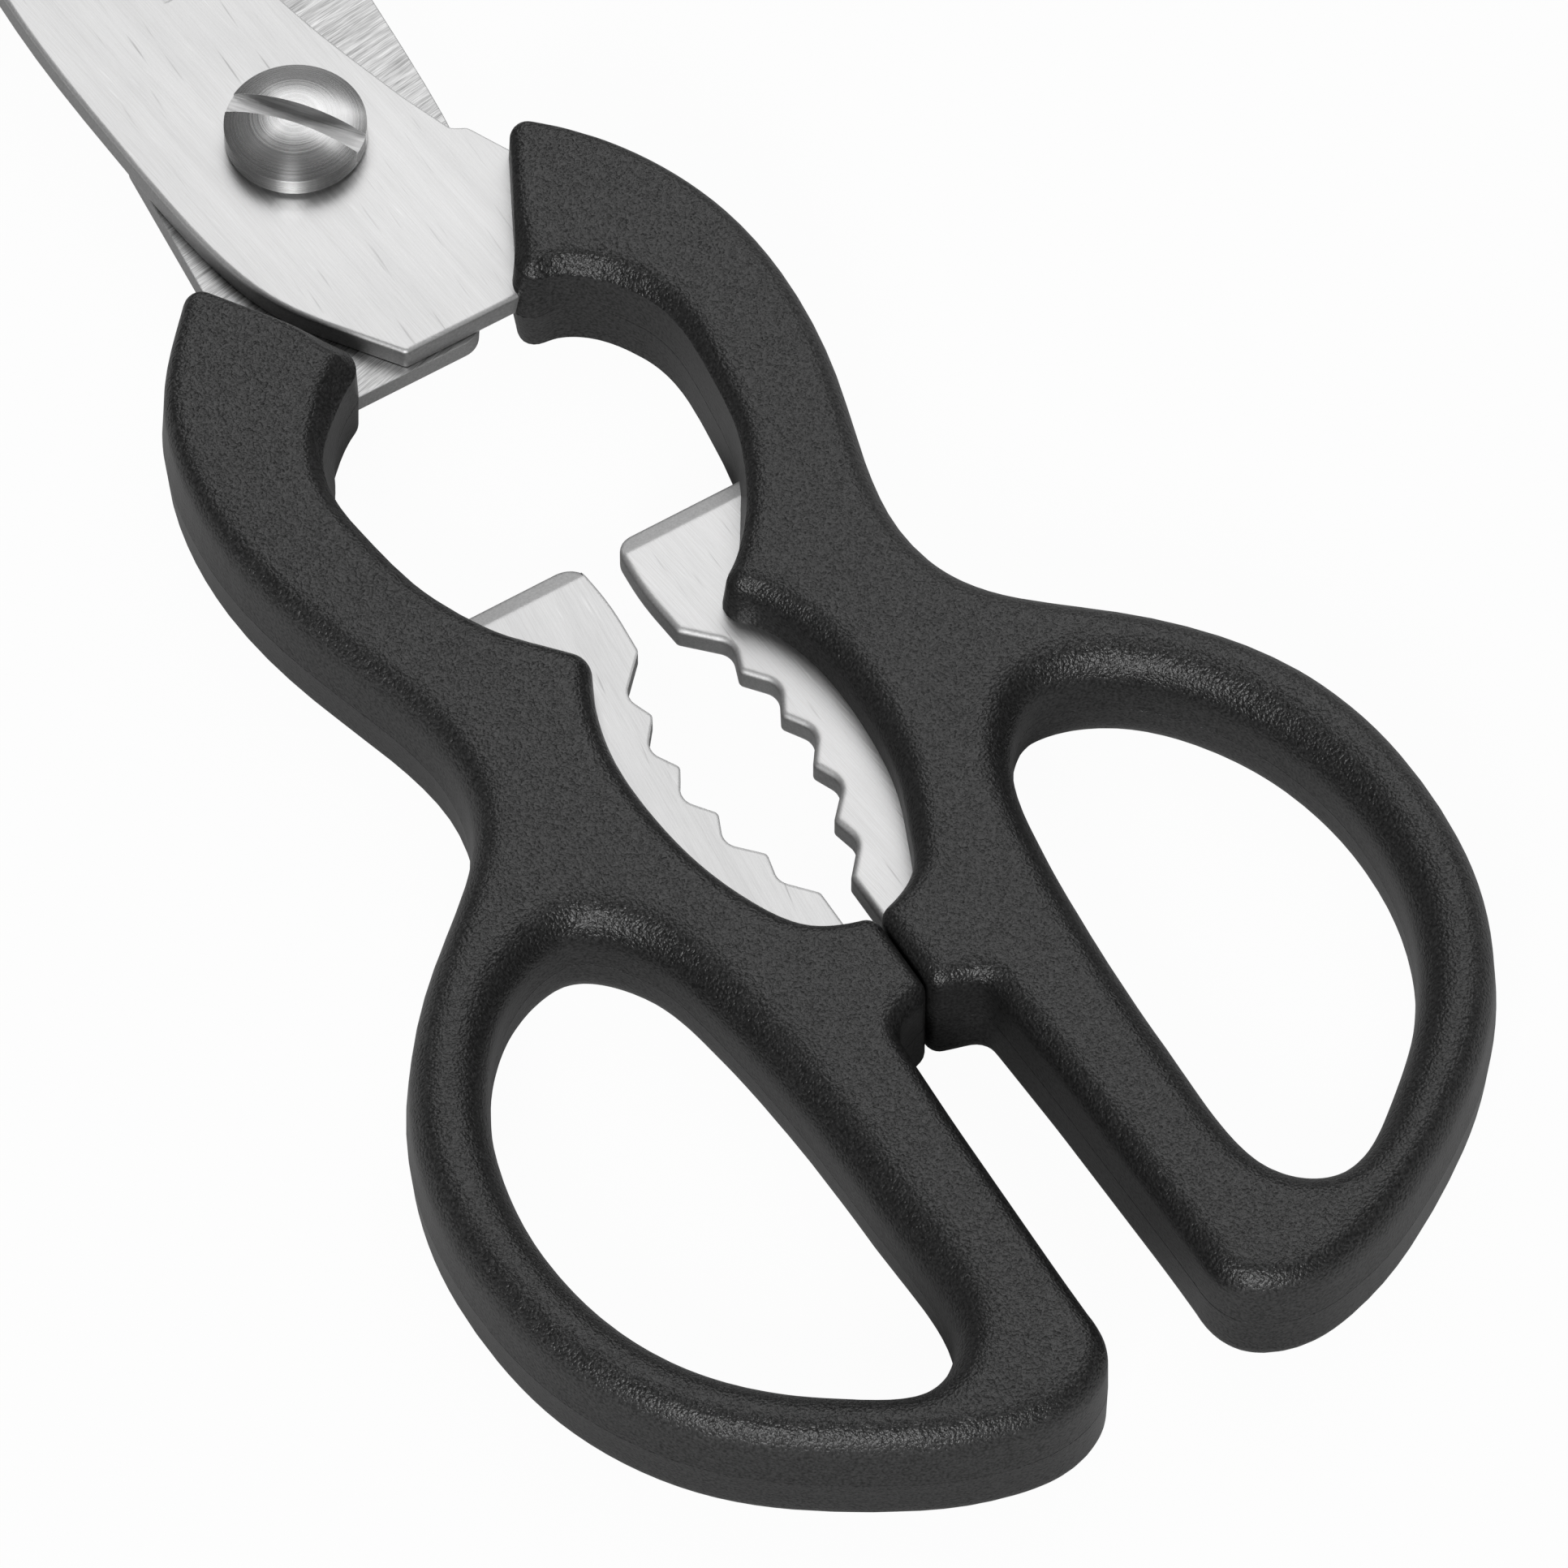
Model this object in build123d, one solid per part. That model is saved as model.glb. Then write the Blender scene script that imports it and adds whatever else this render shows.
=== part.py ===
from build123d import *
import math
import os

# Kitchen shears, closed and lying flat. Lengths are in millimetres.
# +Y points to the blade tips, +Z up, and the origin is under the middle of the closed shears.
# Each half is drawn once: the right handle and jaw are mirrored to the left, and the lower blade
# is drawn as the upper one and turned over. Where the halves differ, each has its own values.

# The shears as a whole
overall_length = 210.0
blade_reach = 80.4
half_width = 41.6
handle_height = 11.2
cut_overrun = 5.0

# Blades
plate_thickness = 1.95
blade_clearance = 0.1
blade_half_width = 12.9
plate_tail_upper = 22.0
plate_tail_lower = 22.45
tail_round_upper = 0.5
tail_round_lower = 2.0
tip_radius = 1.0
heel_round = 1.0
tip_back_angle = 160.0
tip_edge_angle = 12.0
back_edge_round = 0.4
bevel_width = 7.0
bevel_land = 0.5
tang_hole_radius = 1.3

# Pivot screw, washer and nut
shoulder_radius = 3.0
thread_radius = 2.5
running_clearance = 0.04
seat_clearance = 0.05
head_radius = 5.6
rim_height = 1.6
dome_height = 1.5
slot_width = 1.8
slot_depth = 1.75
slot_angle = 128.0
washer_radius = 5.1
washer_thickness = 0.3
nut_sides = 6
nut_flats = 8.0
nut_thickness = 2.4
nut_chamfer = 0.35
thread_end_gap = 0.3
thread_chamfer = 0.4

# Handles
handle_front = 9.0
stop_clearance = 0.2
corner_round = 1.4
arm_corner_round = 2.0
notch_round = 1.6
edge_round = 1.1
grip_leg_width = 12.7
outer_rim = 5.75
end_rim = 7.4
grip_edge_round = 3.2

# Jaws
jaw_thickness = 2.0
jaw_gap = 3.5
hook_round = 1.8
hook_bevel_width = 1.5
hook_bevel_depth = 0.5
hook_bulge = 0.4
hook_side_radius = 25.0
hook_end_lead = 3.1
bow_radius = 28.0
bow_offset = 4.5
tooth_pitch = 5.05
tooth_depth = 1.6
valley_round = 1.5
tooth_tip_round = 0.6
tooth_edge_round = 0.5
tooth_count = 5
first_valley_lead = 8.5
lower_end_offset = 1.35
root_hole_radius = 1.4

# Places that follow from the sizes above
pivot_y = overall_length / 2 - blade_reach
handle_tip_y = pivot_y - handle_front
handle_span = handle_tip_y + overall_length / 2
contact_z = handle_height / 2
upper_plate_bottom = contact_z + blade_clearance / 2
upper_plate_top = upper_plate_bottom + plate_thickness
lower_plate_bottom = contact_z - blade_clearance / 2 - plate_thickness
lower_plate_top = contact_z - blade_clearance / 2

# Outline of a right handle, as shares of half_width across and of handle_span from its front tip.
# The two arms differ at their front: each has its own outer side from the tip and its own rear end.
right_arm_side_shares = [(0.340, -0.002), (0.488, 0.056), (0.577, 0.132), (0.594, 0.191)]
right_arm_end_shares = [
    (0.362, 0.172), (0.334, 0.150), (0.284, 0.128), (0.219, 0.114), (0.168, 0.108),
]
left_arm_side_shares = [(0.362, 0.003), (0.434, 0.030), (0.528, 0.072), (0.588, 0.132), (0.602, 0.191)]
left_arm_end_shares = [
    (0.368, 0.186), (0.345, 0.160), (0.287, 0.1385), (0.219, 0.1195), (0.153, 0.109),
]
outer_side_shares = [
    (0.5625, 0.274), (0.508, 0.340), (0.483, 0.398), (0.519, 0.453), (0.678, 0.507), (0.861, 0.572),
    (0.966, 0.638), (1.000, 0.730), (0.954, 0.821), (0.808, 0.904), (0.587, 0.962), (0.269, 1.000),
    (0.156, 0.988), (0.113, 0.949),
]
notch_share = (0.094, 0.7156)
stop_rear_share = 0.703
stop_front_share = 0.638
jaw_bay_shares = [
    (0.048, 0.634), (0.113, 0.622), (0.173, 0.590), (0.214, 0.546), (0.233, 0.489), (0.231, 0.453),
    (0.209, 0.418), (0.158, 0.3806),
]
arm_bay_shares = [
    (0.158, 0.3806), (0.204, 0.365), (0.262, 0.3416), (0.310, 0.311), (0.346, 0.274), (0.362, 0.236),
]
# Finger hole: its front in the handle's shares, then its outline as shares of its own width and
# length from its inner front corner.
grip_front_share = 0.5477
grip_hole_shares = [
    (0.376, 0.000), (0.626, 0.053), (0.842, 0.176), (0.972, 0.333), (0.998, 0.486), (0.933, 0.662),
    (0.747, 0.821), (0.488, 0.933), (0.207, 0.999), (0.0475, 0.944), (0.000, 0.751), (0.0216, 0.4645),
    (0.069, 0.2206), (0.168, 0.0594),
]

# Upper blade. Its back is the side away from its handle. Shares of blade_half_width and blade_reach.
bevel_heel_share = (0.365, 0.211)
back_shares = [
    (-0.280, 0.908), (-0.558, 0.759), (-0.822, 0.560), (-0.977, 0.348), (-1.000, 0.224),
    (-0.961, 0.087), (-0.907, -0.025),
]
edge_shares = [
    (0.457, 0.137), (0.365, 0.224), (0.287, 0.336), (0.209, 0.522), (0.132, 0.746), (0.070, 0.910),
]
# The plate's rear part, as shares of blade_half_width and of plate_tail_upper behind the pivot.
shoulder_shares = [(-0.776, 0.491), (-0.558, 0.737)]
tail_corner_share = -0.240
# The heel is the edge side beside the pivot: stepped on the upper blade, straight and long on the lower.
heel_shares_upper = [(1.031, 0.415), (0.922, 0.281), (0.832, 0.252), (0.705, 0.045), (0.575, -0.219)]
heel_shares_lower = [(1.013, 0.415), (0.905, -0.290), (0.620, -0.420)]
# The tang inside the handle, in the handle's shares.
plate_root_shares = [(0.264, 0.107), (0.365, 0.032)]
tang_shares = [
    (0.365, 0.032), (0.469, 0.091), (0.519, 0.162), (0.512, 0.224), (0.481, 0.265), (0.406, 0.265),
    (0.437, 0.216), (0.423, 0.170), (0.358, 0.134), (0.264, 0.107), (0.240, 0.060),
]
tang_hole_shares = [(0.350, 0.085), (0.470, 0.170), (0.455, 0.240)]

# Jaw plate inside the handle, in the handle's shares.
jaw_front_share = 0.297
bow_middle_share = 0.4726
jaw_root_shares = [
    (0.409, 0.297), (0.416, 0.340), (0.394, 0.398), (0.394, 0.456), (0.349, 0.518), (0.279, 0.572),
    (0.228, 0.622), (0.156, 0.663), (0.045, 0.672),
]
jaw_hole_shares = [(0.360, 0.350), (0.335, 0.425), (0.295, 0.505)]


def at_handle(share_across, share_back):
    """A point of the right handle from its shares."""
    return (half_width * share_across, handle_tip_y - handle_span * share_back)


def at_blade(share_across, share_forward):
    """A point of the upper blade ahead of the pivot."""
    return (blade_half_width * share_across, pivot_y + blade_reach * share_forward)


def at_tail(share_across, share_back):
    """A point of the upper blade's plate behind the pivot."""
    return (blade_half_width * share_across, pivot_y - plate_tail_upper * share_back)


def at_tip(angle):
    """A point of the upper blade's rounded tip, at an angle from +X."""
    x = tip_radius * math.cos(math.radians(angle))
    y = pivot_y + blade_reach - tip_radius + tip_radius * math.sin(math.radians(angle))
    return (x, y)


def at_grip_hole(share_across, share_back):
    """A point of the right finger hole, which leaves its named walls in the handle."""
    hole_width = half_width - outer_rim - grip_leg_width
    hole_front = at_handle(0, grip_front_share)[1]
    hole_length = hole_front + overall_length / 2 - end_rim
    x = grip_leg_width + hole_width * share_across
    y = hole_front - hole_length * share_back
    return (x, y)


def slab(edges, bottom, top):
    """A flat plate between two heights, from the edges of its outline."""
    face = make_face(edges)
    plate = extrude(face, amount=top - bottom, dir=(0, 0, 1))
    return plate.moved(Location((0, 0, bottom)))


def round_corner(body, corner, radius):
    """Rounds the upright edge of the body that stands nearest to a corner of its outline."""
    uprights = body.edges().filter_by(Axis.Z)
    edge = min(uprights, key=lambda e: math.dist((e.center().X, e.center().Y), corner))
    return fillet(edge, radius)


def upright_holes(places, radius, bottom, top):
    """Plain round holes through a plate, as one cutting tool."""
    depth = top - bottom + 2 * cut_overrun
    middle = (top + bottom) / 2
    return [Pos(x, y, middle) * Cylinder(radius, depth) for x, y in places]


def bevel_tool(start, end, land, top, width):
    """A wedge that grinds a bevel to the left of the line from start to end.

    Over the line it leaves the plate at the height land, and it runs out at the height top."""
    length = math.dist(start, end)
    slope = (top - land) / width
    profile = Plane(
        origin=(start[0], start[1], 0),
        x_dir=(start[1] - end[1], end[0] - start[0], 0),
        z_dir=(end[0] - start[0], end[1] - start[1], 0),
    )
    reach = width + cut_overrun
    section = make_face(Polyline(
        (-cut_overrun, land - slope * cut_overrun),
        (reach, land + slope * reach),
        (reach, top + cut_overrun),
        (-cut_overrun, top + cut_overrun),
        close=True,
    ))
    return extrude(profile * section, amount=length)


def handle_outline(arm_side_shares, arm_end_shares):
    """The closed outline of a right handle, with sharp corners."""
    outer = [at_handle(*share) for share in arm_side_shares + outer_side_shares]
    notch = at_handle(*notch_share)
    stop_x = stop_clearance / 2
    stop_rear = (stop_x, handle_tip_y - handle_span * stop_rear_share)
    stop_front = (stop_x, handle_tip_y - handle_span * stop_front_share)
    jaw_bay = [stop_front] + [at_handle(*share) for share in jaw_bay_shares]
    arm_bay = [at_handle(*share) for share in arm_bay_shares + arm_end_shares]
    return [
        Spline(*outer),
        Line(outer[-1], notch),
        Line(notch, stop_rear),
        Line(stop_rear, stop_front),
        Spline(*jaw_bay),
        Spline(*arm_bay),
        Line(arm_bay[-1], outer[0]),
    ]


def make_handle(arm_side_shares, arm_end_shares, inserts):
    """A right handle, moulded round its steel inserts."""
    body = slab(handle_outline(arm_side_shares, arm_end_shares), 0, handle_height)
    stop_x = stop_clearance / 2
    body = round_corner(body, at_handle(*notch_share), notch_round)
    body = round_corner(body, at_handle(*arm_end_shares[-1]), arm_corner_round)
    corners = [
        at_handle(*arm_side_shares[0]),
        (stop_x, handle_tip_y - handle_span * stop_rear_share),
        (stop_x, handle_tip_y - handle_span * stop_front_share),
        at_handle(*jaw_bay_shares[-1]),
    ]
    for corner in corners:
        body = round_corner(body, corner, corner_round)
    for end in (0, -1):
        rim = body.faces().sort_by(Axis.Z)[end].outer_wire().edges()
        body = fillet(rim, edge_round)
    hole_points = [at_grip_hole(*share) for share in grip_hole_shares]
    hole = slab([Spline(*hole_points, periodic=True)], -cut_overrun, handle_height + cut_overrun)
    body = body - hole
    for end in (0, -1):
        hole_rim = body.faces().sort_by(Axis.Z)[end].inner_wires()[0].edges()
        body = fillet(hole_rim, grip_edge_round)
    for insert in inserts:
        body = body - insert
    return body


def blade_outline(tail_y, heel_shares):
    """The closed outline of the upper blade's plate, with sharp corners at its rear end."""
    tip_back = at_tip(tip_back_angle)
    tip_edge = at_tip(tip_edge_angle)
    tip_top = (0, pivot_y + blade_reach)
    back = [tip_back] + [at_blade(*share) for share in back_shares]
    back += [at_tail(*share) for share in shoulder_shares]
    tail_corner = (blade_half_width * tail_corner_share, tail_y)
    heel = [at_tail(*share) for share in heel_shares]
    edge = [heel[-1]] + [at_blade(*share) for share in edge_shares] + [tip_edge]
    root = [at_handle(*share) for share in plate_root_shares]
    root_rear = (root[0][0], tail_y)
    turn = math.radians(tip_back_angle)
    start_tangent = (-math.sin(turn), math.cos(turn))
    end_tangent = (tail_corner[0] - back[-1][0], tail_corner[1] - back[-1][1])
    return [
        ThreePointArc(tip_edge, tip_top, tip_back),
        Spline(*back, tangents=[start_tangent, end_tangent]),
        Line(back[-1], tail_corner),
        Line(tail_corner, root_rear),
        Line(root_rear, root[1]),
        FilletPolyline(root[1], *heel, radius=heel_round),
        Spline(*edge),
    ]


def make_blade(plate_tail, tail_round, bore_radius, heel_shares):
    """The upper blade with its tang, ground to a bevel along its cutting edge."""
    tail_y = pivot_y - plate_tail
    plate = slab(blade_outline(tail_y, heel_shares), upper_plate_bottom, upper_plate_top)
    plate = round_corner(plate, (blade_half_width * tail_corner_share, tail_y), tail_round)
    back_middle = at_blade(*back_shares[2])
    top_edges = plate.edges().filter_by(lambda e: e.center().Z > upper_plate_top - back_edge_round)
    back_edge = min(top_edges, key=lambda e: e.distance_to(Vector(*back_middle, upper_plate_top)))
    plate = fillet(back_edge, back_edge_round)
    tang_points = [at_handle(*share) for share in tang_shares]
    tang = slab([Polyline(*tang_points, close=True)], upper_plate_bottom, upper_plate_top)
    heel = at_blade(*bevel_heel_share)
    tip = (tip_radius, pivot_y + blade_reach + tip_radius)
    bevel = bevel_tool(heel, tip, upper_plate_bottom + bevel_land, upper_plate_top, bevel_width)
    holes = upright_holes([(0, pivot_y)], bore_radius, upper_plate_bottom, upper_plate_top)
    hole_places = [at_handle(*share) for share in tang_hole_shares]
    holes += upright_holes(hole_places, tang_hole_radius, upper_plate_bottom, upper_plate_top)
    blade = plate + tang - bevel
    return blade - holes


def turned_over(body):
    """The body turned over to the other half, about the shears' own length."""
    axis = Axis((0, 0, contact_z), (0, 1, 0))
    return body.rotate(axis, 180)


def bow_x(y):
    """How far the line of the tooth tips lies from the middle plane."""
    middle = at_handle(0, bow_middle_share)[1]
    return bow_offset - bow_radius + math.sqrt(bow_radius ** 2 - (y - middle) ** 2)


def tooth_points():
    """Valleys and tips of the teeth in turn, from the front. The last tip starts a straight stretch."""
    first_valley = at_handle(0, bow_middle_share)[1] + first_valley_lead
    points = []
    for index in range(tooth_count):
        valley_y = first_valley - tooth_pitch * index
        tip_y = valley_y - tooth_pitch / 2
        points.append((bow_x(valley_y) + tooth_depth, valley_y))
        points.append((bow_x(tip_y), tip_y))
    points[-1] = (lower_end_offset, points[-1][1])
    return points


def edges_over(face, path):
    """The edges of a level face that lie straight above a path drawn on the ground."""
    lift = Vector(0, 0, face.center().Z)
    return face.edges().filter_by(lambda e: path.distance_to(e.center() - lift) < tooth_edge_round / 2)


def make_jaw(rolled_height):
    """The right jaw plate, with its hook at the front and its root inside the handle.

    The toothed edge is rounded on the face nearest to the height given."""
    bottom = contact_z - jaw_thickness / 2
    top = contact_z + jaw_thickness / 2
    teeth = tooth_points()
    front_y = at_handle(0, jaw_front_share)[1]
    hook_corner = (jaw_gap / 2, front_y)
    hook_end = (jaw_gap / 2, teeth[0][1] + hook_end_lead)
    hook_middle = (jaw_gap / 2 - hook_bulge, (front_y + hook_end[1]) / 2)
    root = [at_handle(*share) for share in jaw_root_shares]
    lower_end = (lower_end_offset, root[-1][1])
    rounds = [hook_side_radius, tooth_tip_round] + [valley_round, tooth_tip_round] * tooth_count
    toothed = FilletPolyline(hook_corner, hook_middle, hook_end, *teeth, lower_end, radius=rounds)
    edges = [
        toothed,
        Line(lower_end, root[-1]),
        Polyline(*reversed(root)),
        Line(root[0], hook_corner),
    ]
    jaw = slab(edges, bottom, top)
    jaw = round_corner(jaw, hook_corner, hook_round)
    face = min(jaw.faces().filter_by(Axis.Z), key=lambda f: abs(f.center().Z - rolled_height))
    jaw = fillet(edges_over(face, toothed), tooth_edge_round)
    bevel = bevel_tool(root[0], hook_corner, top - hook_bevel_depth, top, hook_bevel_width)
    holes = upright_holes([at_handle(*share) for share in jaw_hole_shares], root_hole_radius, bottom, top)
    return jaw - bevel - holes


def make_screw():
    """The pivot screw: domed head with a slot, plain shoulder and threaded end."""
    under_head = upper_plate_top + 2 * seat_clearance + washer_thickness
    rim_top = under_head + rim_height
    head_top = rim_top + dome_height
    thread_end = lower_plate_bottom - seat_clearance - nut_thickness - thread_end_gap
    section = make_face([
        Polyline(
            (0, head_top),
            (0, thread_end),
            (thread_radius - thread_chamfer, thread_end),
            (thread_radius, thread_end + thread_chamfer),
            (thread_radius, lower_plate_top),
            (shoulder_radius, lower_plate_top),
            (shoulder_radius, under_head),
            (head_radius, under_head),
            (head_radius, rim_top),
        ),
        dome_arc(rim_top, head_top),
    ])
    screw = revolve(Plane.XZ * section, Axis.Z)
    slot = Pos(0, 0, head_top) * Box(2 * head_radius + cut_overrun, slot_width, 2 * slot_depth)
    screw = screw - slot.rotate(Axis.Z, slot_angle)
    return screw.moved(Location((0, pivot_y, 0)))


def dome_arc(rim_top, head_top):
    """The arc of the screw's domed top, from its rim to its middle."""
    dome_radius = (head_radius ** 2 + dome_height ** 2) / (2 * dome_height)
    centre_z = head_top - dome_radius
    half_angle = math.asin(head_radius / dome_radius) / 2
    middle = (dome_radius * math.sin(half_angle), centre_z + dome_radius * math.cos(half_angle))
    return ThreePointArc((head_radius, rim_top), middle, (0, head_top))


def make_washer():
    """The thin washer between the screw's head and the upper blade."""
    bottom = upper_plate_top + seat_clearance
    ring = Cylinder(washer_radius, washer_thickness) - Cylinder(shoulder_radius + seat_clearance, cut_overrun)
    return ring.moved(Location((0, pivot_y, bottom + washer_thickness / 2)))


def make_nut():
    """The thin hexagon nut on the underside."""
    hexagon = extrude(RegularPolygon(nut_flats / 2, nut_sides, major_radius=False), amount=nut_thickness)
    corner_radius = nut_flats / 2 / math.cos(math.pi / nut_sides)
    turned = Pos(0, 0, nut_thickness / 2) * Cylinder(corner_radius, nut_thickness)
    turned = chamfer(turned.edges().filter_by(GeomType.CIRCLE), nut_chamfer)
    bore = Cylinder(thread_radius + running_clearance, 2 * nut_thickness + cut_overrun)
    nut = (hexagon & turned) - bore
    bottom = lower_plate_bottom - seat_clearance - nut_thickness
    return nut.moved(Location((0, pivot_y, bottom)))


def build_nodes():
    """Every piece of the shears under its name."""
    upper_bore = shoulder_radius + running_clearance
    lower_bore = thread_radius + running_clearance
    upper_blade = make_blade(plate_tail_upper, tail_round_upper, upper_bore, heel_shares_upper)
    lower_turned = make_blade(plate_tail_lower, tail_round_lower, lower_bore, heel_shares_lower)
    lower_blade = turned_over(lower_turned)
    right_jaw = make_jaw(handle_height)
    left_jaw_mirrored = make_jaw(0)
    left_inserts = [mirror(lower_blade, about=Plane.YZ), left_jaw_mirrored]
    right_inserts = [upper_blade, right_jaw]
    right_handle = make_handle(right_arm_side_shares, right_arm_end_shares, right_inserts)
    left_handle_mirrored = make_handle(left_arm_side_shares, left_arm_end_shares, left_inserts)
    return {
        "upper_blade": upper_blade,
        "lower_blade": lower_blade,
        "right_jaw": right_jaw,
        "left_jaw": mirror(left_jaw_mirrored, about=Plane.YZ),
        "right_handle": right_handle,
        "left_handle": mirror(left_handle_mirrored, about=Plane.YZ),
        "pivot_screw": make_screw(),
        "head_washer": make_washer(),
        "pivot_nut": make_nut(),
    }


os.makedirs("parts", exist_ok=True)
for name, solid in build_nodes().items():
    export_step(solid, "parts/" + name + ".step")
    print(name, round(solid.volume, 1))
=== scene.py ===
import math
from collections import namedtuple

import bpy
import numpy as np
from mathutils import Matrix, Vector, kdtree
from mathutils.geometry import delaunay_2d_cdt


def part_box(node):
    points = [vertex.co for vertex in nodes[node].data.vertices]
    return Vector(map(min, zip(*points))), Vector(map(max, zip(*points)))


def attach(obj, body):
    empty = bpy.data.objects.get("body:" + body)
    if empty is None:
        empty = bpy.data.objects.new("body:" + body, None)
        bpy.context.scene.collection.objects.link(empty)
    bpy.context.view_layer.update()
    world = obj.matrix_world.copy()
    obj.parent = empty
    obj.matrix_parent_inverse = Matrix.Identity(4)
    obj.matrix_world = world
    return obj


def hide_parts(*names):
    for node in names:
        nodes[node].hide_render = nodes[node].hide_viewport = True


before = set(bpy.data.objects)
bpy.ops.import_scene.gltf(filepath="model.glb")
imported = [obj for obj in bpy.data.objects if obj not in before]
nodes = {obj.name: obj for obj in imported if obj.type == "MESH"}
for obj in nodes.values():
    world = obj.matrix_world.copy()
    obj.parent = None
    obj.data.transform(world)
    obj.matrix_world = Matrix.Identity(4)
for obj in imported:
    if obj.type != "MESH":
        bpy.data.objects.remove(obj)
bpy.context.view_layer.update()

MM = 0.001

# Camera: where it looks, from which side and how high in degrees, how far off, its lens and sensor
# in mm, and how far it sees in metres
LOOK_AT = Vector((3.63, -42.27, 0.0)) * MM
CAMERA_AZIMUTH = -31.57
CAMERA_ELEVATION = 57.3
CAMERA_DISTANCE = 1052 * MM
CAMERA_LENS = 316.17
CAMERA_SENSOR = 36
CAMERA_REACH = 10.0

# Light: each soft panel's azimuth and elevation in degrees, its distance and size in metres and its
# brightness, and the faint light from all round
BACK_PANEL = dict(azimuth=138, elevation=52, distance=1.0, width=1.0, height=0.84, radiance=1.2)
FRONT_PANEL = dict(azimuth=-42, elevation=34, distance=1.3, width=0.38, height=0.38, radiance=17.0)
WORLD_LIGHT = 0.08

# Floor: half its width in metres, its squares per side, its tones and how many of their clouds there
# are to the metre, and how far it shows as plain white to the camera and in mirroring surfaces
FLOOR_HALF = 1.5
FLOOR_STEPS = 8
FLOOR_TONES = (0.92, 0.94)
FLOOR_CLOUD = 8
FLOOR_SEEN = 0.965
FLOOR_MIRRORED = 0.04


def direction(azimuth, elevation):
    """The unit vector from the object towards an azimuth and elevation in degrees."""
    turn = math.radians(azimuth)
    rise = math.radians(elevation)
    return Vector((math.sin(turn) * math.cos(rise), -math.cos(turn) * math.cos(rise), math.sin(rise)))


def place_around(obj, azimuth, elevation, distance):
    """Links an object into the scene, at a distance from the place looked at and aimed at it."""
    bpy.context.scene.collection.objects.link(obj)
    obj.location = LOOK_AT + direction(azimuth, elevation) * distance
    obj.rotation_euler = (LOOK_AT - obj.location).to_track_quat("-Z", "Y").to_euler()


def make_camera():
    data = bpy.data.cameras.new("camera")
    data.lens = CAMERA_LENS
    data.sensor_width = CAMERA_SENSOR
    data.clip_end = CAMERA_REACH
    camera = bpy.data.objects.new("camera", data)
    place_around(camera, CAMERA_AZIMUTH, CAMERA_ELEVATION, CAMERA_DISTANCE)
    bpy.context.scene.camera = camera


def make_lamp(name, azimuth, elevation, distance, width, height, radiance):
    """A soft rectangular lamp of a set brightness, aimed at the object."""
    data = bpy.data.lights.new(name, "AREA")
    data.shape = "RECTANGLE"
    data.size = width
    data.size_y = height
    data.energy = radiance * math.pi * width * height
    place_around(bpy.data.objects.new(name, data), azimuth, elevation, distance)


def make_world():
    world = bpy.data.worlds.new("studio")
    bpy.context.scene.world = world
    world.use_nodes = True
    background = world.node_tree.nodes["Background"]
    background.inputs["Color"].default_value = (1, 1, 1, 1)
    background.inputs["Strength"].default_value = WORLD_LIGHT


# Most of a noise's values lie between these two.
NOISE_LOW = 0.3
NOISE_HIGH = 0.7
# How many rays look for sharp edges to round off
EDGE_SAMPLES = 4


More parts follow.
